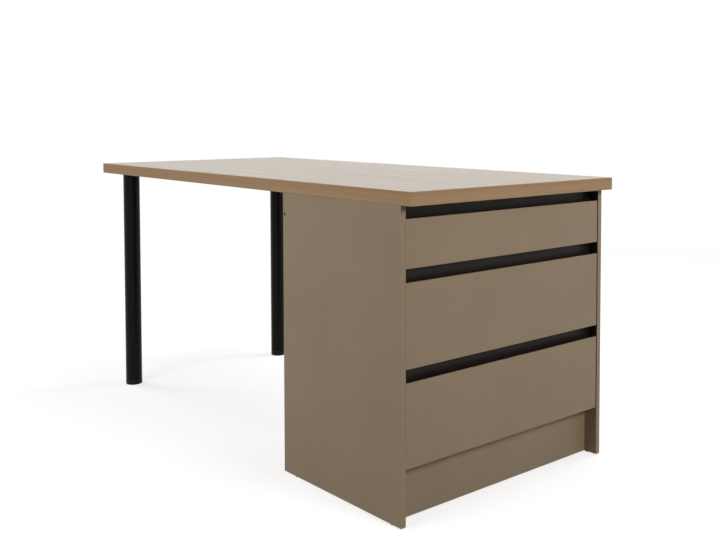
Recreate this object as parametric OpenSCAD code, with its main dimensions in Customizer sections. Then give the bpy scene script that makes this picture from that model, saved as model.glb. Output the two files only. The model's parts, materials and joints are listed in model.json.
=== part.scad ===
// Kitchen island unit: a long worktop carried by a three-drawer base cabinet at one end
// and by two round adjustable legs at the other.
// Millimetres. X runs across the unit, -Y is the drawer side, +Y the leg side, +Z is up.
// The origin lies on the floor under the centre of the worktop.

/* [Worktop] */
// Length of the worktop, front edge to far end
worktop_len = 1800; // [1500:10:2200]
// Width of the worktop and of the cabinet under it
worktop_w = 800; // [700:10:1000]
// Height of the worktop's upper face above the floor
unit_h = 850; // [820:5:950]
// Thickness of the worktop
worktop_t = 36; // [28:1:40]
// Thickness of the edging strip on the worktop's four edges
band_t = 2; // [1:0.5:3]
// Rounding of the edging strip's upper and lower arris
band_arris = 1.2; // [0.5:0.1:2]

/* [Cabinet] */
// Distance from the worktop's front edge to the front edges of the side panels
worktop_overhang = 38; // [0:1:100]
// Thickness of the cabinet's boards
board_t = 16; // [15:1:19]
// Rounding of the boards' vertical edges
board_arris = 0.8; // [0.3:0.1:1.5]
// Width of the two rails under the worktop
rail_w = 90; // [60:5:120]
// Height of the glides that the cabinet stands on
glide_h = 3; // [2:0.5:6]
// Diameter of a glide
glide_d = 14; // [10:1:15]

/* [Plinth] */
// Height of the lowest drawer front's lower edge above the floor
plinth_h = 148; // [100:1:180]
// Distance from the side panels' front edges back to the plinth board
plinth_setback = 45; // [20:1:80]

/* [Drawer fronts] */
// Height of the top drawer's front
top_front_h = 125; // [110:1:150]
// Visible height of the grip gap above each front
grip_gap = 35; // [30:1:45]
// Thickness of a drawer front
front_t = 16; // [15:1:22]
// Gap between a front and the side panel beside it, with the front in the middle
front_gap = 2.5; // [2:0.5:4]
// How far the fronts are adjusted sideways, towards the left side panel
front_shift = 1.5; // [0:0.5:1.5]
// Distance from the side panels' front edges back to the face of the fronts
front_setback = 1; // [0:0.5:3]
// Height and depth of the finger bevel behind a front's upper edge
finger_bevel = 11; // [6:1:13]

/* [Grip profiles] */
// Depth of the grip channel, lips to back
grip_depth = 13; // [10:1:20]
// Wall of the grip channel
grip_wall = 1.5; // [1.2:0.1:2]
// Length of a channel that hides behind the front next to it
grip_lap = 19; // [15:1:20]
// Gap between a front's back and the channel's lips
grip_clear = 2; // [1:0.5:4]
// Inner corner radius of the channel
grip_round = 5; // [2:0.5:8]
// Thickness of the end caps that close the channels at the side panels
end_cap_t = 2.5; // [1.5:0.5:3]

/* [Drawer boxes] */
// Thickness of the box sides and box back
box_t = 12; // [10:1:16]
// Length of a box side and of its runners, which the cabinet's depth follows
box_len = 450; // [300:10:600]
// Free space between the box backs and the cabinet's back panel
box_back_gap = 37; // [20:1:100]
// Thickness of the box bottom
box_bottom_t = 4; // [3:0.5:6]
// Height of the box bottom's underside above the lower edge of the box sides
box_groove_h = 10; // [6:1:14]
// Depth of the groove that holds the box bottom
box_groove_d = 6; // [3:0.5:7]

/* [Drawer runners] */
// Height of a runner
runner_h = 45.7; // [44:0.1:47]
// Thickness of a runner, side panel to drawer box
runner_t = 12.7; // [12.5:0.1:13.5]
// Sheet thickness of a runner's three members
runner_sheet = 1; // [0.9:0.05:1.1]
// Diameter of a runner's balls
ball_d = 3.5; // [3.3:0.1:3.6]
// Number of balls in one row of a cage
balls_per_row = 6; // [3:1:8]
// Height of the runner's centre above the lower edge of the box sides
runner_up = 39.5; // [36:0.5:42]
// Distance from a runner's front end to its first screw
first_hole = 37; // [30:1:45]
// Distance from a runner's back end to its last screw
last_hole = 61; // [40:1:80]

/* [Legs] */
// Diameter of a leg
leg_d = 60; // [50:1:70]
// Wall of a leg's tube
leg_wall = 1.2; // [1:0.1:2]
// Distance from a leg's axis to the side of the worktop
leg_side_inset = 70; // [60:5:140]
// Distance from a leg's axis to the far end of the worktop
leg_inset = 95; // [60:5:300]
// Height of a leg's foot
foot_h = 22; // [15:1:35]
// Diameter of the foot's spindle
spindle_d = 10; // [8:1:12]
// Travel of the foot's spindle
foot_travel = 20; // [10:1:25]
// Diameter of the plate between leg and worktop
leg_plate_d = 96; // [90:1:110]

/* [Hidden] */
$fn = 48;
// Clearance between a fitting and the hole that it sits in
fit = 0.1;
// Small gap between two pieces of the carcass that only lie side by side
seam = 0.5;
// Hair joint between two edging strips at a corner
strip_gap = 0.05;

// Heights
top_under = unit_h - worktop_t;
large_front_h = (top_under - plinth_h - 3 * grip_gap - top_front_h) / 2;
front_heights = [top_front_h, large_front_h, large_front_h];
// Upper edge of each front, from the top drawer down
front_tops = [top_under - grip_gap,
              top_under - 2 * grip_gap - top_front_h,
              top_under - 3 * grip_gap - top_front_h - large_front_h];

// Lengths along Y
worktop_front = -worktop_len / 2;
face_y = worktop_front + worktop_overhang;
cabinet_d = front_setback + front_t + box_len + box_back_gap + board_t;
cabinet_back = face_y + cabinet_d;
front_face = face_y + front_setback;
front_back = front_face + front_t;
grip_y = front_back + grip_clear;
grip_back = grip_y + grip_depth;
back_inner = cabinet_back - board_t;

// Lengths along X
half_w = worktop_w / 2;
inner_half = half_w - board_t;
front_half = inner_half - front_gap;
box_half = inner_half - runner_t;

// Drawer boxes: clear of the grip channels above and below, and of the bottom panel
box_gap = 4;
bottom_top = plinth_h + board_t;
box_bases = [front_tops[0] - front_heights[0] + grip_lap + box_gap,
             front_tops[1] - front_heights[1] + grip_lap + box_gap,
             bottom_top + box_gap];
box_heights = [for (i = [0:2]) front_tops[i] - grip_lap - box_gap - box_bases[i]];
runner_axes = [for (i = [0:2]) box_bases[i] + runner_up];

// Runner section. u is the distance from the side panel, v the height from the runner's centre.
race_play = 0.2;
race_r = ball_d / 2 + race_play;
race_out = race_r + runner_sheet;
race_mid = race_r + runner_sheet / 2;
// Angles of the middle member: where its curve turns over, how far its two arcs run past that,
// and where the outer curl starts
turn = 25;
weld = 1;
curl_start = 250;
full_turn = 360;
outer_ball = [race_out, runner_h / 2 - race_out];
inner_ball = outer_ball + 2 * race_mid * [cos(turn), -sin(turn)];
cage_t = 0.5;
cage_play = 0.25;
pocket_play = 0.08;
// How far the outer cage reaches past its balls' centres, and the inner cage's slanting edges
cage_margin = 0.4;
edge_turn = 205;
edge_start = 0.5;
edge_end = 3.5;
// Ends of the drawer member's races, and how far its flanges lie inside them
drawer_race = [230, 325];
flange_in = 0.6;
flange_out = 0.93;
middle_web = runner_sheet + cage_t + 2 * cage_play;
// Runner lengths along Y. The middle member travels half as far as the drawer.
runner_len = box_len;
rail_step = 2;
middle_short = 10;
cage_spare = 4;
drawer_rail_y = front_back + rail_step;
cabinet_rail_y = drawer_rail_y + rail_step;
middle_rail_y = cabinet_rail_y + rail_step;
middle_rail_len = runner_len - middle_short;
travel = runner_len;
// Stops pressed out of the webs, high enough to catch a cage but not the next web
stop_d = 3;
stop_h = cage_play + cage_t - strip_gap;
stop_play = 0.5;
// Tab that ends the closing run, and the rails' holes and slots
tab_half = 8;
tab_reach = runner_t - seam;
slot_len = 9;
screw_hole_d = 4.6;
access_d = 9;
cage_len = middle_rail_len - travel / 2 - 2 * cage_spare;
outer_cage_y = cabinet_rail_y + travel / 4 + cage_spare;
inner_cage_y = middle_rail_y + travel / 4 + cage_spare;

// Carcass fittings
cam_d = 15;
cam_h = 12.5;
cam_from_end = 34;
cam_inset = 60;
low_cam_up = 80;
cam_bolt_d = 7;
cam_bore_d = 8;
cam_slot_len = 9;
cam_slot_w = 1.2;
cam_slot_deep = 2;
bolt_neck = 5;
bolt_neck_d = 4;
bolt_head_t = 2.5;
bolt_in_panel = 11;
dowel_d = 8;
dowel_len = 30;
dowel_in_panel = 11;
screw_d = 4;
screw_head_d = 8;
screw_head_h = 2.2;
screw_point = 3;
cross_len = 4;
cross_w = 0.8;
cross_deep = 1;
small_chamfer = 1;
joint_step = 32;
connector_d = 7;
connector_head_d = 10;
connector_head_h = 3;
connector_len = 50;
connector_core = 5;
connector_drop = 61;
hex_d = 4;
hex_deep = 2;
glide_pin_d = 3;
glide_pin_len = 14;
glide_in = 40;
glide_rows = [face_y + glide_in, cabinet_back - board_t - glide_in];
back_glide_x = inner_half / 2;
cap_edge = 1;
cap_hole_in = 11;
cap_hole_d = 3.5;
block_side = 18;
block_len = 90;

// Legs
leg_facets = 96;
leg_x = half_w - leg_side_inset;
leg_y = worktop_len / 2 - leg_inset;
plate_t = 3;
socket_h = 20;
socket_wall = 3;
foot_gap = 0.5;
insert_h = 24;
plate_hole_ring = (leg_d + leg_plate_d) / 4;
leg_screw_len = 20;
insert_hollow_d = 12;
insert_hollow_ring = leg_d / 4 + 3;
insert_floor = 5;
foot_chamfer = 1.5;
spindle_spare = 6;
spindle_up = insert_h + foot_travel + spindle_spare;

// ---- Colours ----
module greige() color([0.54, 0.48, 0.41]) children();
module laminate() color([0.76, 0.68, 0.58]) children();
module oak_edge() color([0.55, 0.43, 0.31]) children();
module black() color([0.06, 0.06, 0.055]) children();
module zinc() color([0.70, 0.71, 0.72]) children();
module box_white() color([0.86, 0.85, 0.83]) children();
module beech() color([0.78, 0.63, 0.44]) children();

// ---- Helpers ----
// Outline in (x, z), pushed along +Y from y0
module along_y(y0, len) translate([0, y0 + len, 0]) rotate([90, 0, 0]) linear_extrude(len) children();
// Outline in (y, z), pushed along +X from x0
module along_x(x0, len) translate([x0, 0, 0]) rotate([90, 0, 90]) linear_extrude(len) children();
// Round rod or bore along +Z, +X or +Y from a point
module rod_z(p, d, len) translate(p) cylinder(d = d, h = len);
module rod_x(p, d, len) translate(p) rotate([0, 90, 0]) cylinder(d = d, h = len);
module rod_y(p, d, len) translate(p) rotate([-90, 0, 0]) cylinder(d = d, h = len);
// The children and their mirror image on the other side of the unit
module both_sides() {
    children();
    mirror([1, 0, 0]) children();
}
// Rectangle with four round corners
module rounded(size, r) {
    translate([r, 0]) square([size[0] - 2 * r, size[1]]);
    translate([0, r]) square([size[0], size[1] - 2 * r]);
    for (x = [r, size[0] - r], y = [r, size[1] - r]) translate([x, y]) circle(r);
}
// Part of a ring round the point c, from angle a0 to a1
module arc_band(c, r_in, r_out, a0, a1) {
    steps = 4;
    reach = 2 * r_out;
    translate(c) intersection() {
        difference() {
            circle(r_out);
            circle(r_in);
        }
        polygon(concat([[0, 0]],
            [for (i = [0:steps]) let (a = a0 + (a1 - a0) * i / steps) reach * [cos(a), sin(a)]]));
    }
}
// The outline and its mirror image below the runner's centre
module up_and_down() {
    children();
    mirror([0, 1]) children();
}

// ---- Worktop ----
// Places of the fittings that hold the worktop: on the rails and round each leg
front_rail_y = grip_back + seam;
rear_rail_y = back_inner - rail_w;
rail_screw_x = inner_half * 0.6;
worktop_screw_points = [for (x = [-1, 1], y = [front_rail_y, rear_rail_y])
    [x * rail_screw_x, y + rail_w / 2]];
leg_screw_points = [for (s = [-1, 1], a = [45:90:315])
    [s * leg_x, leg_y] + plate_hole_ring * [cos(a), sin(a)]];
rail_screw_up = 20;

module worktop() laminate() difference() {
    translate([-half_w + band_t, worktop_front + band_t, top_under])
        cube([worktop_w - 2 * band_t, worktop_len - 2 * band_t, worktop_t]);
    for (p = worktop_screw_points)
        rod_z([p[0], p[1], top_under - 1], screw_d + 2 * fit, rail_screw_up + 1 + fit);
    for (p = leg_screw_points)
        rod_z([p[0], p[1], top_under - 1], screw_d + 2 * fit, leg_screw_len - plate_t + 1 + fit);
}

// Edging strip, seen along its length: its outer face at x = 0, rounded above and below
module band_outline() {
    intersection() {
        square([band_t, worktop_t]);
        rounded([2 * band_t + band_arris, worktop_t], band_arris);
    }
}

// Four strips: the two across the ends cover the ends of the two along the sides
module worktop_edging() oak_edge() {
    both_sides() translate([-half_w, 0, top_under])
        along_y(worktop_front + band_t + strip_gap, worktop_len - 2 * (band_t + strip_gap)) band_outline();
    for (turned = [0, 180]) rotate(turned) translate([0, worktop_front, top_under])
        along_x(-half_w, worktop_w) band_outline();
}

// ---- Carcass ----
// Cam joints in the ends of a board. Each is [distance along the board's end, height] in (y, z).
bottom_cams = [for (y = [front_back + cam_inset, back_inner - cam_inset]) [y, plinth_h + board_t / 2]];
rail_cams = [for (y = [front_rail_y + rail_w / 3, rear_rail_y + rail_w / 3]) [y, top_under - board_t / 2]];
back_cam_heights = [glide_h + low_cam_up, (plinth_h + top_under) / 2];
back_mid_y = back_inner + board_t / 2;
// Dowels sit one hole step behind each cam, or above it in the back
flat_dowels = [for (c = concat(bottom_cams, rail_cams)) c + [joint_step, 0]];
back_dowels = [for (z = back_cam_heights) [back_mid_y, z + joint_step]];
connector_z = top_under - connector_drop;

// Bores in a side panel's inner face, for the left panel
module side_panel_bores() {
    for (c = concat(bottom_cams, rail_cams)) rod_x([-inner_half - bolt_in_panel - fit, c[0], c[1]],
        cam_bolt_d + 2 * fit, bolt_in_panel + 1);
    for (z = back_cam_heights) rod_x([-inner_half - bolt_in_panel - fit, back_mid_y, z],
        cam_bolt_d + 2 * fit, bolt_in_panel + 1);
    for (c = concat(flat_dowels, back_dowels))
        rod_x([-inner_half - dowel_in_panel - fit, c[0], c[1]], dowel_d + 2 * fit, dowel_in_panel + 1);
    rod_x([-half_w - 1, back_mid_y, connector_z], connector_d + 2 * fit, board_t + 2);
    rod_x([-half_w - 1, back_mid_y, connector_z], connector_head_d + 2 * fit, connector_head_h + 1 + fit);
    for (y = glide_rows) rod_z([-half_w + board_t / 2, y, glide_h - 1], glide_pin_d + 2 * fit,
        glide_pin_len + 1 + fit);
}

module side_panel() greige() difference() {
    translate([-half_w, face_y, glide_h])
        linear_extrude(top_under - glide_h) rounded([board_t, cabinet_d], board_arris);
    side_panel_bores();
}
module side_panel_left() side_panel();
module side_panel_right() mirror([1, 0, 0]) side_panel();

module back_panel() greige() difference() {
    translate([-inner_half, back_inner, glide_h])
        cube([2 * inner_half, board_t, top_under - glide_h]);
    both_sides() {
        for (z = back_cam_heights) {
            rod_y([-inner_half + cam_from_end, back_inner - 1, z], cam_d + 2 * fit, cam_h + 1 + fit);
            rod_x([-inner_half - 1, back_mid_y, z], cam_bore_d, cam_from_end + 1);
        }
        for (c = back_dowels) rod_x([-inner_half - 1, c[0], c[1]], dowel_d + 2 * fit,
            dowel_len - dowel_in_panel + 1 + fit);
        rod_x([-inner_half - 1, back_mid_y, connector_z], connector_core + 2 * fit,
            connector_len - board_t + 1 + fit);
        rod_z([-back_glide_x, back_mid_y, glide_h - 1], glide_pin_d + 2 * fit, glide_pin_len + 1 + fit);
    }
}

// A board that lies flat between the side panels, drilled for its cams and dowels
module flat_board(y0, depth, z0, cams) difference() {
    translate([-inner_half, y0, z0]) cube([2 * inner_half, depth, board_t]);
    both_sides() for (c = cams) {
        rod_z([-inner_half + cam_from_end, c[0], z0 - 1], cam_d + 2 * fit, cam_h + 1 + fit);
        rod_x([-inner_half - 1, c[0], c[1]], cam_bore_d, cam_from_end + 1);
        rod_x([-inner_half - 1, c[0] + joint_step, c[1]], dowel_d + 2 * fit,
            dowel_len - dowel_in_panel + 1 + fit);
    }
}

module bottom_panel() greige()
    flat_board(front_back + grip_clear, back_inner - front_back - grip_clear, plinth_h, bottom_cams);

module rail(y0, cam) greige() difference() {
    flat_board(y0, rail_w, top_under - board_t, [cam]);
    for (x = [-1, 1]) rod_z([x * rail_screw_x, y0 + rail_w / 2, top_under - board_t - 1],
        screw_d + 1, board_t + 2);
}
module front_rail() rail(front_rail_y, rail_cams[0]);
module rear_rail() rail(rear_rail_y, rail_cams[1]);

module plinth_board() greige() translate([-inner_half, face_y + plinth_setback, glide_h])
    cube([2 * inner_half, board_t, plinth_h - glide_h]);

// Glue blocks in the corners behind the plinth
module plinth_blocks() beech() both_sides()
    translate([-inner_half, face_y + plinth_setback + board_t, (plinth_h + glide_h - block_len) / 2])
        cube([block_side, block_side, block_len]);

module glide(p) translate(p) {
    rotate_extrude() polygon([[0, 0], [glide_d / 2 - small_chamfer, 0], [glide_d / 2, small_chamfer],
        [glide_d / 2, glide_h], [glide_pin_d / 2, glide_h], [glide_pin_d / 2, glide_h + glide_pin_len],
        [0, glide_h + glide_pin_len]]);
}
module panel_glides() black() both_sides() {
    for (y = glide_rows) glide([-half_w + board_t / 2, y, 0]);
    glide([-back_glide_x, back_mid_y, 0]);
}

// ---- Carcass fittings ----
// Cam: a slotted disc whose side takes the bolt's head. Its open face is at z = 0, bolt along -X.
module cam_lock() difference() {
    cylinder(d = cam_d, h = cam_h);
    rod_x([-cam_d, 0, board_t / 2], cam_bore_d, cam_d + cam_bore_d / 2);
    for (a = [45, 135]) rotate(a) translate([-cam_slot_len / 2, -cam_slot_w / 2, -1])
        cube([cam_slot_len, cam_slot_w, cam_slot_deep + 1]);
}
module cam_locks() zinc() both_sides() {
    for (c = concat(bottom_cams, rail_cams))
        translate([-inner_half + cam_from_end, c[0], c[1] - board_t / 2]) cam_lock();
    for (z = back_cam_heights) translate([-inner_half + cam_from_end, back_inner, z])
        rotate([-90, 0, 0]) cam_lock();
}

// Bolt: a threaded end in the side panel, a shank, a neck and a head inside the cam
module cam_bolt() {
    rod_x([-bolt_in_panel, 0, 0], cam_bolt_d, bolt_in_panel);
    rod_x([-seam, 0, 0], cam_bolt_d - 1, cam_from_end - bolt_neck + seam);
    rod_x([cam_from_end - bolt_neck - seam, 0, 0], bolt_neck_d, bolt_neck);
    rod_x([cam_from_end - 1, 0, 0], cam_bolt_d - seam, bolt_head_t);
}
module cam_bolts() zinc() both_sides() {
    for (c = concat(bottom_cams, rail_cams)) translate([-inner_half, c[0], c[1]]) cam_bolt();
    for (z = back_cam_heights) translate([-inner_half, back_mid_y, z]) cam_bolt();
}

module wood_dowels() beech() both_sides() for (c = concat(flat_dowels, back_dowels))
    rod_x([-inner_half - dowel_in_panel, c[0], c[1]], dowel_d, dowel_len);

// Connector screws that hold the side panels to the back, their heads flush with the panels
module connector_screws() black() both_sides() translate([-half_w, back_mid_y, connector_z])
    difference() {
        union() {
            rod_x([0, 0, 0], connector_head_d, connector_head_h);
            rod_x([0, 0, 0], connector_d, board_t);
            rod_x([0, 0, 0], connector_core, connector_len);
        }
        translate([-1, 0, 0]) rotate([0, 90, 0]) cylinder(d = hex_d, h = hex_deep + 1, $fn = 6);
    }

// Screw that points up: head below, point above. z = 0 is the seat of its head.
module up_screw(len) difference() {
    rotate_extrude() polygon([[0, -screw_head_h], [screw_head_d / 2 - small_chamfer, -screw_head_h],
        [screw_head_d / 2, small_chamfer - screw_head_h], [screw_head_d / 2, 0],
        [screw_d / 2, 0], [screw_d / 2, len - screw_point], [0, len]]);
    for (a = [0, 90]) rotate(a) translate([-cross_len / 2, -cross_w / 2, -screw_head_h - 1])
        cube([cross_len, cross_w, cross_deep + 1]);
}
module worktop_screws() zinc() for (p = worktop_screw_points)
    translate([p[0], p[1], top_under - board_t]) up_screw(board_t + rail_screw_up - fit);

// ---- Grip profiles ----
// Channel in (y, z), open towards the fronts, between the heights z0 and z1
module grip_outline(z0, z1) difference() {
    translate([grip_y, z0]) intersection() {
        translate([-grip_depth, 0]) rounded([2 * grip_depth, z1 - z0], grip_round + grip_wall);
        square([grip_depth, z1 - z0]);
    }
    translate([grip_y, z0 + grip_wall]) intersection() {
        translate([-grip_depth, 0])
            rounded([2 * grip_depth - grip_wall, z1 - z0 - 2 * grip_wall], grip_round);
        translate([-1, 0]) square([grip_depth + 1, z1 - z0 - 2 * grip_wall]);
    }
}
// Small beads that stiffen the ends of the channel's lips
module grip_beads(z0, z1) {
    for (z = [z0 + grip_wall, z1 - grip_wall]) translate([grip_y + grip_wall, z]) circle(grip_wall);
}
// Lower and upper height of the channel above drawer i
grip_low = [for (i = [0:2]) front_tops[i] - grip_lap];
grip_high = [for (i = [0:2]) i == 0 ? top_under : front_tops[i] + grip_gap + grip_lap];

module grip_profile(i) black() along_x(-inner_half + seam, 2 * (inner_half - seam)) {
    grip_outline(grip_low[i], grip_high[i]);
    grip_beads(grip_low[i], grip_high[i]);
}
module grip_profile_top() grip_profile(0);
module grip_profile_middle() grip_profile(1);
module grip_profile_bottom() grip_profile(2);

// End cap of channel i in (y, z): a core that fits inside the channel, and a tongue that covers
// the side panel in the grip gap, as far as the fronts' faces
module end_cap_outline(i) {
    core_low = grip_low[i] + 2 * grip_wall + fit;
    core_high = grip_high[i] - 2 * grip_wall - fit;
    core_depth = grip_depth - grip_wall - fit;
    translate([grip_y, core_low]) intersection() {
        translate([-core_depth, 0]) rounded([2 * core_depth, core_high - core_low], grip_round);
        translate([-cap_edge, 0]) square([core_depth + cap_edge, core_high - core_low]);
    }
    translate([front_face, front_tops[i] + cap_edge])
        square([grip_y - fit - front_face, grip_gap - 2 * cap_edge]);
}
module grip_end_plates() black() both_sides() for (i = [0:2]) difference() {
    along_x(-inner_half, end_cap_t) end_cap_outline(i);
    for (z = [grip_low[i] + grip_wall + cap_hole_in, grip_high[i] - grip_wall - cap_hole_in])
        rod_x([-inner_half - 1, grip_y + (grip_depth - grip_wall) / 2, z], cap_hole_d, end_cap_t + 2);
}

// ---- Drawers ----
// Front: rounded arrises on its face, finger bevel behind its upper edge
module drawer_front(i) greige() difference() {
    translate([0, front_face, front_tops[i] - front_heights[i]])
        along_x(-front_half - front_shift, 2 * front_half) difference() {
            intersection() {
                square([front_t, front_heights[i]]);
                rounded([2 * front_t, front_heights[i]], board_arris);
            }
            translate([front_t, front_heights[i] - finger_bevel])
                rotate(45) square(2 * finger_bevel);
        }
    // groove for the box bottom
    translate([-box_half + box_t - box_groove_d, front_back - box_groove_d,
               box_bases[i] + box_groove_h])
        cube([2 * (box_half - box_t + box_groove_d), box_groove_d + 1, box_bottom_t + fit]);
}

module drawer_side(i) box_white() difference() {
    translate([-box_half, front_back, box_bases[i]])
        along_y(0, box_len) rounded([box_t, box_heights[i]], board_arris);
    translate([-box_half + box_t - box_groove_d, front_back - 1, box_bases[i] + box_groove_h])
        cube([box_groove_d + 1, box_len + 2, box_bottom_t + fit]);
}

// The back stands on the box bottom, which slides in under it
module drawer_back(i) box_white() translate([-box_half + box_t, front_back + box_len - box_t,
    box_bases[i] + box_groove_h + box_bottom_t])
        cube([2 * (box_half - box_t), box_t, box_heights[i] - box_groove_h - box_bottom_t]);

module drawer_bottom(i) box_white() translate([-box_half + box_t - box_groove_d + fit,
    front_back - box_groove_d + fit, box_bases[i] + box_groove_h])
        cube([2 * (box_half - box_t + box_groove_d - fit), box_len + box_groove_d - fit, box_bottom_t]);

// ---- Drawer runners ----
// Outlines in (u, v) of the left runner. Each is one sheet of even thickness, rolled so that
// its curled edges make the races: the balls run in them above and below.
module cabinet_rail_outline() {
    translate([0, -outer_ball[1]]) square([runner_sheet, 2 * outer_ball[1]]);
    up_and_down() arc_band(outer_ball, race_r, race_out, turn, 180);
}
module middle_rail_outline() {
    web_top = outer_ball[1] - race_mid;
    translate([middle_web, -web_top]) square([runner_sheet, 2 * web_top]);
    up_and_down() {
        arc_band(outer_ball, race_r, race_out, curl_start, full_turn - turn + weld);
        arc_band(inner_ball, race_r, race_out, turn, 180 - turn + weld);
    }
}
module drawer_rail_outline() {
    flange_v = inner_ball[1] - race_r * flange_in;
    flange_u = inner_ball[0] + race_r * flange_out;
    translate([runner_t - runner_sheet, -flange_v]) square([runner_sheet, 2 * flange_v]);
    up_and_down() {
        arc_band(inner_ball, race_r, race_out, drawer_race[0], drawer_race[1]);
        translate([flange_u, flange_v - runner_sheet]) square([runner_t - flange_u, runner_sheet]);
    }
}

// Height of the runner's centre and its place beside the left side panel
module at_runner(i) translate([-inner_half, 0, runner_axes[i]]) children();

// Screw places along a rail, and the slots beside them for adjusting it up and down or lengthways
rail_holes = [first_hole, (first_hole + runner_len - last_hole) / 2, runner_len - last_hole];
rail_slots = [first_hole + joint_step, runner_len - last_hole - joint_step];
module rail_screw_holes(y0, u) {
    for (y = rail_holes) rod_x([u - 1, y0 + y, 0], screw_hole_d, runner_sheet + 2);
    for (y = rail_slots) {
        run = (slot_len - screw_hole_d) / 2;
        for (side = [-1, 1]) rod_x([u - 1, y0 + y + side * run, 0], screw_hole_d, runner_sheet + 2);
        translate([u - 1, y0 + y - run, -screw_hole_d / 2])
            cube([runner_sheet + 2, 2 * run, screw_hole_d]);
    }
}
// Pressed stops on a web whose inner face is at u: one where the cage's front end comes to rest with
// the drawer open, one behind its back end with the drawer closed
module cage_stops(u, cage_y) for (y = [cage_y - travel / 4 - stop_play - stop_d / 2,
                                       cage_y + cage_len + stop_play + stop_d / 2])
    rod_x([u - runner_sheet / 2, y, 0], stop_d, stop_h + runner_sheet / 2);

module cabinet_rails(i) zinc() both_sides() at_runner(i) {
    difference() {
        along_y(cabinet_rail_y, runner_len) cabinet_rail_outline();
        rail_screw_holes(cabinet_rail_y, 0);
    }
    cage_stops(runner_sheet, outer_cage_y);
    // closing stop: the web's back end, bent inwards
    translate([0, cabinet_rail_y + runner_len - runner_sheet, -tab_half])
        cube([tab_reach, runner_sheet, 2 * tab_half]);
}
// The web has holes through which the cabinet rail's screws are reached
module middle_rails(i) zinc() both_sides() at_runner(i) {
    difference() {
        along_y(middle_rail_y, middle_rail_len) middle_rail_outline();
        for (y = rail_holes) rod_x([middle_web - 1, cabinet_rail_y + y, 0], access_d, runner_sheet + 2);
    }
    cage_stops(middle_web + runner_sheet, inner_cage_y);
}
module drawer_rails(i) zinc() both_sides() at_runner(i) difference() {
    along_y(drawer_rail_y, runner_len) drawer_rail_outline();
    rail_screw_holes(drawer_rail_y, runner_t - runner_sheet);
}

// Ball rows: the balls of one cage, evenly spaced along it, above and below
module ball_row(c, y0, d) {
    step = cage_len / balls_per_row;
    for (v = [-1, 1], k = [0:balls_per_row - 1])
        translate([c[0], y0 + (k + 0.5) * step, v * c[1]]) sphere(d = d);
}
// Outer cage: a flat strip between the two webs, with a pocket for each ball
module outer_ball_cages(i) zinc() both_sides() at_runner(i) {
    difference() {
        along_y(outer_cage_y, cage_len)
            translate([runner_sheet + cage_play, -outer_ball[1] - cage_margin])
                square([cage_t, 2 * (outer_ball[1] + cage_margin)]);
        ball_row(outer_ball, outer_cage_y, ball_d + 2 * pocket_play);
    }
    ball_row(outer_ball, outer_cage_y, ball_d);
}

// Inner cage: a web with two slanting edges that reach in between the races
module inner_ball_cages(i) zinc() both_sides() at_runner(i) {
    web_u = middle_web + runner_sheet + cage_margin;
    web_v = inner_ball[1] + edge_end * sin(edge_turn);
    difference() {
        along_y(inner_cage_y, cage_len) {
            translate([web_u, -web_v]) square([cage_t, 2 * web_v]);
            up_and_down() translate(inner_ball) rotate(edge_turn)
                translate([edge_start, -cage_t / 2]) square([edge_end, cage_t]);
        }
        ball_row(inner_ball, inner_cage_y, ball_d + 2 * pocket_play);
    }
    ball_row(inner_ball, inner_cage_y, ball_d);
}

// ---- Legs ----
module leg_tube(s) black() translate([s * leg_x, leg_y, foot_h + foot_gap]) difference() {
    cylinder(d = leg_d, h = top_under - plate_t - foot_h - foot_gap, $fn = leg_facets);
    translate([0, 0, -1]) cylinder(d = leg_d - 2 * leg_wall, h = top_under, $fn = leg_facets);
}
module leg_tube_left() leg_tube(-1);
module leg_tube_right() leg_tube(1);

// Plate under the worktop, with the round socket that the tube is pushed over
module leg_plate(s) black() translate([s * leg_x, leg_y, top_under]) difference() {
    union() {
        translate([0, 0, -plate_t]) cylinder(d = leg_plate_d, h = plate_t, $fn = leg_facets);
        translate([0, 0, -plate_t - socket_h])
            cylinder(d = leg_d - 2 * leg_wall - 2 * fit, h = socket_h + plate_t, $fn = leg_facets);
    }
    translate([0, 0, -plate_t - socket_h - 1])
        cylinder(d = leg_d - 2 * leg_wall - 2 * socket_wall, h = socket_h + 1, $fn = leg_facets);
    for (a = [45:90:315]) rotate(a) rod_z([plate_hole_ring, 0, -plate_t - 1], screw_d + seam, plate_t + 2);
}
module leg_plate_left() leg_plate(-1);
module leg_plate_right() leg_plate(1);

module leg_plate_screws() zinc() for (p = leg_screw_points)
    translate([p[0], p[1], top_under - plate_t]) up_screw(leg_screw_len - fit);

// Threaded plug in the tube's lower end
module leg_inserts() black() both_sides() translate([-leg_x, leg_y, foot_h + foot_gap]) difference() {
    cylinder(d = leg_d - 2 * leg_wall - 2 * fit, h = insert_h, $fn = leg_facets);
    translate([0, 0, -1]) cylinder(d = spindle_d + 2 * fit, h = insert_h + 2);
    for (a = [0:60:300]) rotate(a)
        rod_z([insert_hollow_ring, 0, insert_floor], insert_hollow_d, insert_h);
}

// Foot with its spindle, turned down to level the worktop
module leg_foot(s) black() translate([s * leg_x, leg_y, 0]) rotate_extrude($fn = leg_facets)
    polygon([[0, 0], [leg_d / 2 - foot_chamfer, 0], [leg_d / 2, foot_chamfer],
        [leg_d / 2, foot_h - small_chamfer], [leg_d / 2 - small_chamfer, foot_h],
        [spindle_d / 2, foot_h], [spindle_d / 2, foot_h + spindle_up],
        [0, foot_h + spindle_up]]);
module leg_foot_left() leg_foot(-1);
module leg_foot_right() leg_foot(1);

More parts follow.
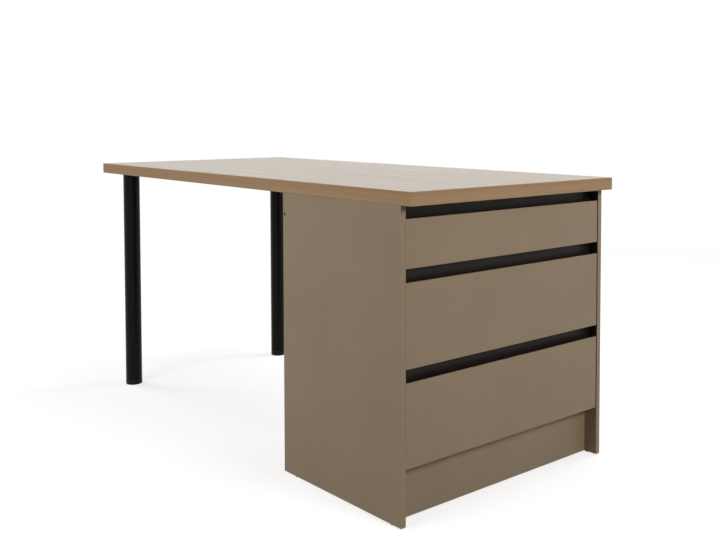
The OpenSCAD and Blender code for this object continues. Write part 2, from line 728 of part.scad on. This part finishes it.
worktop();
worktop_edging();
side_panel_left();
side_panel_right();
back_panel();
bottom_panel();
front_rail();
rear_rail();
plinth_board();
plinth_blocks();
panel_glides();
cam_locks();
cam_bolts();
wood_dowels();
connector_screws();
worktop_screws();
grip_profile_top();
grip_profile_middle();
grip_profile_bottom();
grip_end_plates();
leg_tube_left();
leg_tube_right();
leg_plate_left();
leg_plate_right();
leg_plate_screws();
leg_inserts();
leg_foot_left();
leg_foot_right();
drawer_front(0);  // upper_drawer_front
drawer_side(0);  // upper_drawer_side_left
mirror([1, 0, 0]) drawer_side(0);  // upper_drawer_side_right
drawer_back(0);  // upper_drawer_back
drawer_bottom(0);  // upper_drawer_bottom
cabinet_rails(0);  // upper_cabinet_rails
middle_rails(0);  // upper_middle_rails
drawer_rails(0);  // upper_drawer_rails
outer_ball_cages(0);  // upper_outer_ball_cages
inner_ball_cages(0);  // upper_inner_ball_cages
drawer_front(1);  // centre_drawer_front
drawer_side(1);  // centre_drawer_side_left
mirror([1, 0, 0]) drawer_side(1);  // centre_drawer_side_right
drawer_back(1);  // centre_drawer_back
drawer_bottom(1);  // centre_drawer_bottom
cabinet_rails(1);  // centre_cabinet_rails
middle_rails(1);  // centre_middle_rails
drawer_rails(1);  // centre_drawer_rails
outer_ball_cages(1);  // centre_outer_ball_cages
inner_ball_cages(1);  // centre_inner_ball_cages
drawer_front(2);  // lower_drawer_front
drawer_side(2);  // lower_drawer_side_left
mirror([1, 0, 0]) drawer_side(2);  // lower_drawer_side_right
drawer_back(2);  // lower_drawer_back
drawer_bottom(2);  // lower_drawer_bottom
cabinet_rails(2);  // lower_cabinet_rails
middle_rails(2);  // lower_middle_rails
drawer_rails(2);  // lower_drawer_rails
outer_ball_cages(2);  // lower_outer_ball_cages
inner_ball_cages(2);  // lower_inner_ball_cages
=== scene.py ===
import json
import math

import bmesh
import bpy
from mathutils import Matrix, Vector


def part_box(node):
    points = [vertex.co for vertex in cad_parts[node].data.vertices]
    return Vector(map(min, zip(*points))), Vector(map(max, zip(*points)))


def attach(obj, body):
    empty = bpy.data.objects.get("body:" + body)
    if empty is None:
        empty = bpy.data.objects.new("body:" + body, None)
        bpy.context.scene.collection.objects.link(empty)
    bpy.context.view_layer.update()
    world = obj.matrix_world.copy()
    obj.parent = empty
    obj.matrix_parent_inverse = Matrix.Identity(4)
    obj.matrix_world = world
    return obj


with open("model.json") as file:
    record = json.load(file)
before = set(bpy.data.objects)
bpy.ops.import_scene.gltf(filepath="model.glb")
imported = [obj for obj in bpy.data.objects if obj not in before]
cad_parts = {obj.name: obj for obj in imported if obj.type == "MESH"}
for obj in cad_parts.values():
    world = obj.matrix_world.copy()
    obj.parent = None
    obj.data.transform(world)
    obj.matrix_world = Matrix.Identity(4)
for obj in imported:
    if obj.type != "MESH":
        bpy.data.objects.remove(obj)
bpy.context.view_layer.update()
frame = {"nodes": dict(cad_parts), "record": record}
scene = bpy.context.scene
nodes = frame["nodes"]

# ---- Camera ----
# The photograph's angle. Most of the downward view comes from the lens shift, so that the verticals
# stay nearly parallel.
PHOTO_W, PHOTO_H = 716, 540
FOCAL_PX = 939.8
CENTRE_PX = (416.1, 157.2)
CAMERA_AT = (-1.9003, -2.6095, 1.0379)
YAW, PITCH = math.radians(41.58), math.radians(2.6)


def add_camera():
    data = bpy.data.cameras.new("photo_camera")
    data.sensor_fit = "HORIZONTAL"
    data.sensor_width = 36.0
    data.lens = FOCAL_PX / PHOTO_W * data.sensor_width
    data.shift_x = (PHOTO_W / 2 - CENTRE_PX[0]) / PHOTO_W
    data.shift_y = (CENTRE_PX[1] - PHOTO_H / 2) / PHOTO_W
    data.clip_start = 0.05
    camera = bpy.data.objects.new("photo_camera", data)
    camera.location = CAMERA_AT
    camera.rotation_euler = (math.pi / 2 - PITCH, 0.0, -YAW)
    scene.collection.objects.link(camera)
    scene.camera = camera


# ---- Materials ----
# Grains per metre of the noises that run the same way everywhere
BOARD_CLOUD = (5, 5, 5)
BOARD_GRAIN = (900, 900, 900)
METAL_CLOUD = (14, 14, 14)
FLOOR_CLOUD = (0.8, 0.8, 0.8)
# How much coarser the drift of a streaked surface is than its streaks, and how much finer the rest
DRIFT_COARSER, PORES_FINER, FIBRES_FINER = 9, 4, 15
# The part of a noise's range that spread() stretches
NOISE_LOW, NOISE_HIGH = 0.3, 0.7
WHITE = (1, 1, 1, 1)


def srgb(r, g, b):
    """A colour given in the picture's 0 to 255 values, as linear light."""
    return tuple(
        (c / 12.92 if c <= 0.04045 else ((c + 0.055) / 1.055) ** 2.4)
        for c in (r / 255, g / 255, b / 255)
    ) + (1.0,)


class Shader:
    """A Principled material whose colour, roughness and bump come from noise in the part's own space."""

    def __init__(self, name, roughness, metallic=0.0, specular=0.5):
        self.material = bpy.data.materials.new(name)
        self.material.use_nodes = True
        self.tree = self.material.node_tree
        self.out = self.tree.nodes["Principled BSDF"]
        self.out.inputs["Metallic"].default_value = metallic
        self.out.inputs["Specular IOR Level"].default_value = specular
        self.out.inputs["Roughness"].default_value = roughness
        self.space = self.tree.nodes.new("ShaderNodeTexCoord").outputs["Object"]
        self.height = None

    def link(self, a, b):
        self.tree.links.new(a, b)

    def noise(self, stretch, detail, rough=0.55, distortion=0.0):
        """Noise with its own number of grains per metre along X, Y and Z."""
        mapping = self.tree.nodes.new("ShaderNodeMapping")
        mapping.inputs["Scale"].default_value = stretch
        self.link(self.space, mapping.inputs["Vector"])
        tex = self.tree.nodes.new("ShaderNodeTexNoise")
        tex.inputs["Scale"].default_value = 1.0
        tex.inputs["Detail"].default_value = detail
        tex.inputs["Roughness"].default_value = rough
        tex.inputs["Distortion"].default_value = distortion
        self.link(mapping.outputs["Vector"], tex.inputs["Vector"])
        return tex.outputs["Fac"]

    def ramp(self, value, stops):
        node = self.tree.nodes.new("ShaderNodeValToRGB")
        ramp = node.color_ramp
        while len(ramp.elements) < len(stops):
            ramp.elements.new(0.5)
        for element, (place, colour) in zip(ramp.elements, stops):
            element.position = place
            element.color = colour
        self.link(value, node.inputs["Fac"])
        return node.outputs["Color"]

    def mix(self, amount, a, b, kind="MIX"):
        node = self.tree.nodes.new("ShaderNodeMix")
        node.data_type = "RGBA"
        node.blend_type = kind
        sockets = [s for s in node.inputs if s.type == "RGBA"]
        for value, socket in ((amount, node.inputs["Factor"]), (a, sockets[0]), (b, sockets[1])):
            if isinstance(value, bpy.types.NodeSocket):
                self.link(value, socket)
            else:
                socket.default_value = value
        return next(s for s in node.outputs if s.type == "RGBA")

    def map_range(self, value, old, new, kind="LINEAR"):
        """The value, moved from the range old to the range new."""
        node = self.tree.nodes.new("ShaderNodeMapRange")
        node.interpolation_type = kind
        for name, number in zip(("From Min", "From Max", "To Min", "To Max"), old + new):
            node.inputs[name].default_value = number
        self.link(value, node.inputs["Value"])
        return node.outputs["Result"]

    def spread(self, value, low, high):
        """The noise's middle part, stretched to run from low to high."""
        return self.map_range(value, (NOISE_LOW, NOISE_HIGH), (low, high))

    def bump(self, value, depth, strength):
        node = self.tree.nodes.new("ShaderNodeBump")
        node.inputs["Strength"].default_value = strength
        node.inputs["Distance"].default_value = depth
        self.link(value, node.inputs["Height"])
        if self.height is not None:
            self.link(self.height, node.inputs["Normal"])
        self.height = node.outputs["Normal"]

    def done(self, colour, roughness=None):
        self.link(colour, self.out.inputs["Base Color"])
        if roughness is not None:
            self.link(roughness, self.out.inputs["Roughness"])
        if self.height is not None:
            self.link(self.height, self.out.inputs["Normal"])
        return self.material


def board_material(name, light, dark, roughness=(0.40, 0.50), depth=0.00006):
    """Melamine-faced board: an even colour with a faint cloud, and a fine pearl grain in the gloss."""
    s = Shader(name, roughness[0], specular=0.30)
    cloud = s.noise(BOARD_CLOUD, detail=3)
    grain = s.noise(BOARD_GRAIN, detail=2)
    base = s.ramp(cloud, [(0.35, dark), (0.65, light)])
    colour = s.mix(0.10, base, s.ramp(grain, [(0.35, dark), (0.65, light)]))
    s.bump(grain, depth, 0.35)
    return s.done(colour, s.spread(grain, *roughness))


def streak_material(name, stretch, tones, roughness, depth, specular=0.5):
    """Wood-look surface: streaks, a slow drift of tone, pores and fibres, all along one direction."""
    s = Shader(name, roughness[0], specular=specular)
    streaks = s.noise(stretch, detail=6, rough=0.62, distortion=0.15)
    drift = s.noise(tuple(v / DRIFT_COARSER for v in stretch), detail=2)
    pores = s.noise(tuple(v * PORES_FINER for v in stretch), detail=2, rough=0.7)
    fibres = s.noise(tuple(v * FIBRES_FINER for v in stretch), detail=3, rough=0.6)
    low, middle, high = tones
    colour = s.ramp(streaks, [(0.30, low), (0.50, middle), (0.70, high)])
    colour = s.mix(0.35, colour, s.ramp(drift, [(0.38, low), (0.62, high)]))
    colour = s.mix(0.12, colour, s.ramp(pores, [(0.42, low), (0.60, high)]), "MULTIPLY")
    colour = s.mix(0.22, colour, s.ramp(fibres, [(0.36, low), (0.64, high)]))
    s.bump(streaks, depth, 0.4)
    s.bump(pores, depth / 2, 0.4)
    return s.done(colour, s.spread(streaks, *roughness))


def coated_metal(
        name, light, dark, grain, roughness, depth, metallic=0.0, stretch=(1, 1, 1), specular=0.5):
    """Coated, drawn or plated metal: a fine grain that can run along one direction."""
    s = Shader(name, roughness[0], metallic=metallic, specular=specular)
    fine = s.noise(tuple(grain * v for v in stretch), detail=3, rough=0.6)
    slow = s.noise(METAL_CLOUD, detail=3)
    fine_tone = s.ramp(fine, [(0.3, dark), (0.7, light)])
    slow_tone = s.ramp(slow, [(0.35, dark), (0.65, light)])
    colour = s.mix(0.5, fine_tone, slow_tone)
    s.bump(fine, depth, 0.5)
    return s.done(colour, s.spread(slow, *roughness))


def make_materials():
    return {
        "cabinet_board": board_material("cabinet_board", srgb(145, 127, 104), srgb(141, 122, 99)),
        "drawer_board": board_material("drawer_board", srgb(228, 225, 219), srgb(218, 214, 208)),
        "drawer_bottom_board": board_material(
            "drawer_bottom_board", srgb(224, 221, 215), srgb(213, 209, 202), (0.5, 0.6)),
        "worktop_laminate": streak_material(
            "worktop_laminate", (46, 1.5, 46),
            (srgb(140, 121, 94), srgb(148, 129, 101), srgb(157, 138, 110)), (0.20, 0.28), 0.00001, 0.33),
        "worktop_edge": streak_material(
            "worktop_edge", (3.2, 3.2, 260),
            (srgb(153, 122, 90), srgb(167, 136, 103), srgb(179, 149, 116)), (0.45, 0.58), 0.00006, 0.15),
        "black_profile": coated_metal(
            "black_profile", srgb(33, 28, 23), srgb(25, 21, 17), 1400, (0.34, 0.46), 0.00003,
            stretch=(0.02, 1, 1), specular=0.16),
        "black_plastic": coated_metal(
            "black_plastic", srgb(30, 30, 29), srgb(23, 23, 22), 1600, (0.5, 0.62), 0.00005,
            specular=0.16),
        "black_steel": coated_metal(
            "black_steel", srgb(15, 14, 10), srgb(10, 9, 6), 1100, (0.30, 0.40), 0.00004,
            specular=0.10),
        "black_screw": coated_metal(
            "black_screw", srgb(28, 28, 27), srgb(18, 18, 18), 1500, (0.35, 0.5), 0.00003),
        "zinc_fitting": coated_metal(
            "zinc_fitting", srgb(198, 199, 197), srgb(176, 177, 175), 1500, (0.30, 0.44), 0.00001,
            metallic=1.0),
        "runner_steel": coated_metal(
            "runner_steel", srgb(203, 205, 207), srgb(184, 186, 189), 900, (0.32, 0.44), 0.000006,
            metallic=1.0, stretch=(1, 0.02, 1)),
        "beech": streak_material(
            "beech", (260, 260, 12),
            (srgb(186, 150, 108), srgb(202, 168, 124), srgb(214, 182, 140)), (0.5, 0.65), 0.0001),
    }


def dress(materials):
    """Every CAD node gets the material of its slot in the record."""
    slots = {p["node"]: p["material_slot"] for p in frame["record"]["subparts"]}
    for name, obj in nodes.items():
        obj.data.materials.clear()
        obj.data.materials.append(materials[slots[name]])


# ---- Small pieces ----
# The runners' screws: countersunk heads with a cross recess, a little below the sheet's face, so
# that the ball cages pass over them. SHEET, FIRST_HOLE and LAST_HOLE are the CAD rails' own sizes.
SHEET, FIRST_HOLE, LAST_HOLE = 0.001, 0.037, 0.061
NECK_R, HEAD_R, DOME_R = 0.0019, 0.00215, 0.0014
HEAD_SINK, HEAD_RISE = 0.00012, 0.00006
CROSS_REACH, CROSS_DEPTH, CROSS_TAPER = 0.0011, 0.0005, 0.7
TURNS = 24
ANGLES = [2 * math.pi * k / TURNS for k in range(TURNS)]
# From the middle of a recess arm's end to its corner
ARM_CORNER = 2 * math.pi / TURNS


def cross_radius(angle):
    """The cross recess's outline, as a distance from the middle of the head."""
    fold = abs((angle + math.pi / 4) % (math.pi / 2) - math.pi / 4)
    if fold <= ARM_CORNER:
        return CROSS_REACH / math.cos(fold)
    return CROSS_REACH * math.tan(ARM_CORNER) / math.sin(fold)


def screw_heads(name, places, side, body, material):
    """One piece of screw heads at the places given, facing along X towards side, -1 or 1."""
    cross = [cross_radius(a) for a in ANGLES]
    crown = HEAD_RISE - HEAD_SINK
    profile = [
        (HEAD_SINK - SHEET, [NECK_R] * TURNS),
        (-HEAD_SINK, [HEAD_R] * TURNS),
        (crown, [DOME_R] * TURNS),
        (crown, cross),
        (-CROSS_DEPTH, [CROSS_TAPER * r for r in cross]),
    ]
    bm = bmesh.new()
    for x, y, z in places:
        loops = []
        for level, radii in profile:
            loops.append([
                bm.verts.new((x + side * level, y + r * math.cos(a), z + r * math.sin(a)))
                for a, r in zip(ANGLES, radii)
            ])
        for outer, inner in zip(loops, loops[1:]):
            for k in range(TURNS):
                bm.faces.new((outer[k - 1], outer[k], inner[k], inner[k - 1]))
        bm.faces.new(loops[0])
        bm.faces.new(loops[-1])
    bmesh.ops.recalc_face_normals(bm, faces=bm.faces)
    mesh = bpy.data.meshes.new(name)
    bm.to_mesh(mesh)
    bm.free()
    mesh.materials.append(material)
    obj = bpy.data.objects.new(name, mesh)
    scene.collection.objects.link(obj)
    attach(obj, body)


def hole_places(start, end):
    """The rails' screw places along Y: first, last and one midway."""
    first, last = start + FIRST_HOLE, end - LAST_HOLE
    return [first, (first + last) / 2, last]


def runner_screws(material):
    for drawer in ("upper", "centre", "lower"):
        for kind, body in (("cabinet", "cabinet"), ("drawer", drawer + "_drawer")):
            low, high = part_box(f"{drawer}_{kind}_rails")
            height = (low.z + high.z) / 2
            ys = hole_places(low.y, high.y)
            for side in (-1, 1):
                if kind == "cabinet":
                    face, looks = side * (high.x - SHEET), -side
                else:
                    box_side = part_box(f"{drawer}_drawer_side_right")[1].x
                    face, looks = side * (box_side + SHEET), side
                name = f"{drawer}_{kind}_rail_screws_{'right' if side > 0 else 'left'}"
                screw_heads(name, [(face, y, height) for y in ys], looks, body, material)


# ---- Floor and light ----
# The floor as the camera and reflections see it glows towards the backdrop's white, and more so far
# from the object. Its own colour under the glow keeps the shadow, and is darker for the light that
# it throws back at the object.
GLOW_NEAR, GLOW_FAR = 0.70, 0.94
NEAR, FAR = 1.5, 6.0
FLOOR_SIZE, FLOOR_DROP = 160, 0.0005
FLOOR_DARKER, FLOOR_PALER = srgb(170, 169, 167), srgb(174, 173, 171)
FLOOR_BOUNCE = srgb(125, 124, 122)
STUDIO_LIGHT, BACKDROP = 0.16, 1.0


def seen_directly(tree):
    """1 for camera, glossy and transmission rays, 0 for the rays that light the object."""
    path = tree.nodes.new("ShaderNodeLightPath")
    total = path.outputs["Is Camera Ray"]
    for name in ("Is Glossy Ray", "Is Transmission Ray"):
        add = tree.nodes.new("ShaderNodeMath")
        add.operation = "MAXIMUM"
        tree.links.new(total, add.inputs[0])
        tree.links.new(path.outputs[name], add.inputs[1])
        total = add.outputs["Value"]
    return total


def add_floor():
    bpy.ops.mesh.primitive_plane_add(size=FLOOR_SIZE, location=(0, 0, -FLOOR_DROP))
    floor = bpy.context.object
    floor.name = "floor"
    s = Shader("floor", 0.9, specular=0.0)
    seen = seen_directly(s.tree)
    cloud = s.noise(FLOOR_CLOUD, detail=2)
    pale = s.ramp(cloud, [(0.3, FLOOR_DARKER), (0.7, FLOOR_PALER)])
    material = s.done(s.mix(seen, FLOOR_BOUNCE, pale))
    distance = s.tree.nodes.new("ShaderNodeVectorMath")
    distance.operation = "LENGTH"
    s.link(s.space, distance.inputs[0])
    level = s.map_range(distance.outputs["Value"], (NEAR, FAR), (GLOW_NEAR, GLOW_FAR), "SMOOTHSTEP")
    strength = s.tree.nodes.new("ShaderNodeMath")
    strength.operation = "MULTIPLY"
    s.link(level, strength.inputs[0])
    s.link(seen, strength.inputs[1])
    glow = s.tree.nodes.new("ShaderNodeEmission")
    glow.inputs["Color"].default_value = WHITE
    s.link(strength.outputs["Value"], glow.inputs["Strength"])
    both = s.tree.nodes.new("ShaderNodeAddShader")
    s.link(s.out.outputs["BSDF"], both.inputs[0])
    s.link(glow.outputs["Emission"], both.inputs[1])
    s.link(both.outputs["Shader"], s.tree.nodes["Material Output"].inputs["Surface"])
    floor.data.materials.append(material)


def add_area(name, at, towards, size, power):
    """A softbox that lights surfaces without showing in their gloss, where it would clip to white."""
    data = bpy.data.lights.new(name, "AREA")
    data.shape = "RECTANGLE"
    data.size, data.size_y = size
    data.energy = power
    lamp = bpy.data.objects.new(name, data)
    lamp.location = at
    lamp.rotation_euler = (Vector(towards) - Vector(at)).to_track_quat("-Z", "Y").to_euler()
    lamp.visible_glossy = False
    scene.collection.objects.link(lamp)


def add_world():
    world = bpy.data.worlds.new("studio")
    scene.world = world
    world.use_nodes = True
    tree = world.node_tree
    mix = tree.nodes.new("ShaderNodeMixShader")
    tree.links.new(seen_directly(tree), mix.inputs["Fac"])
    tree.nodes.remove(tree.nodes["Background"])
    for place, strength in ((1, STUDIO_LIGHT), (2, BACKDROP)):
        background = tree.nodes.new("ShaderNodeBackground")
        background.inputs["Color"].default_value = WHITE
        background.inputs["Strength"].default_value = strength
        tree.links.new(background.outputs["Background"], mix.inputs[place])
    tree.links.new(mix.outputs["Shader"], tree.nodes["World Output"].inputs["Surface"])


materials = make_materials()
dress(materials)
runner_screws(materials["zinc_fitting"])
add_camera()
add_floor()
add_world()
add_area("key", (-2.8, -0.5, 1.8), (-0.3, -0.6, 0.5), (1.4, 1.8), 39)
add_area("fill", (0.1, -3.6, 2.0), (0.0, -0.8, 0.5), (0.8, 0.8), 58)
add_area("overhead", (1.1, 0.1, 2.9), (0.1, 0.0, 0.85), (1.6, 1.4), 30)
add_area("right", (3.6, -1.0, 1.5), (0.4, -0.6, 0.5), (1.2, 1.2), 55)
add_area("back", (-1.4, 3.8, 1.8), (-0.1, 0.2, 0.5), (1.8, 1.6), 70)
scene.view_settings.view_transform = "Standard"
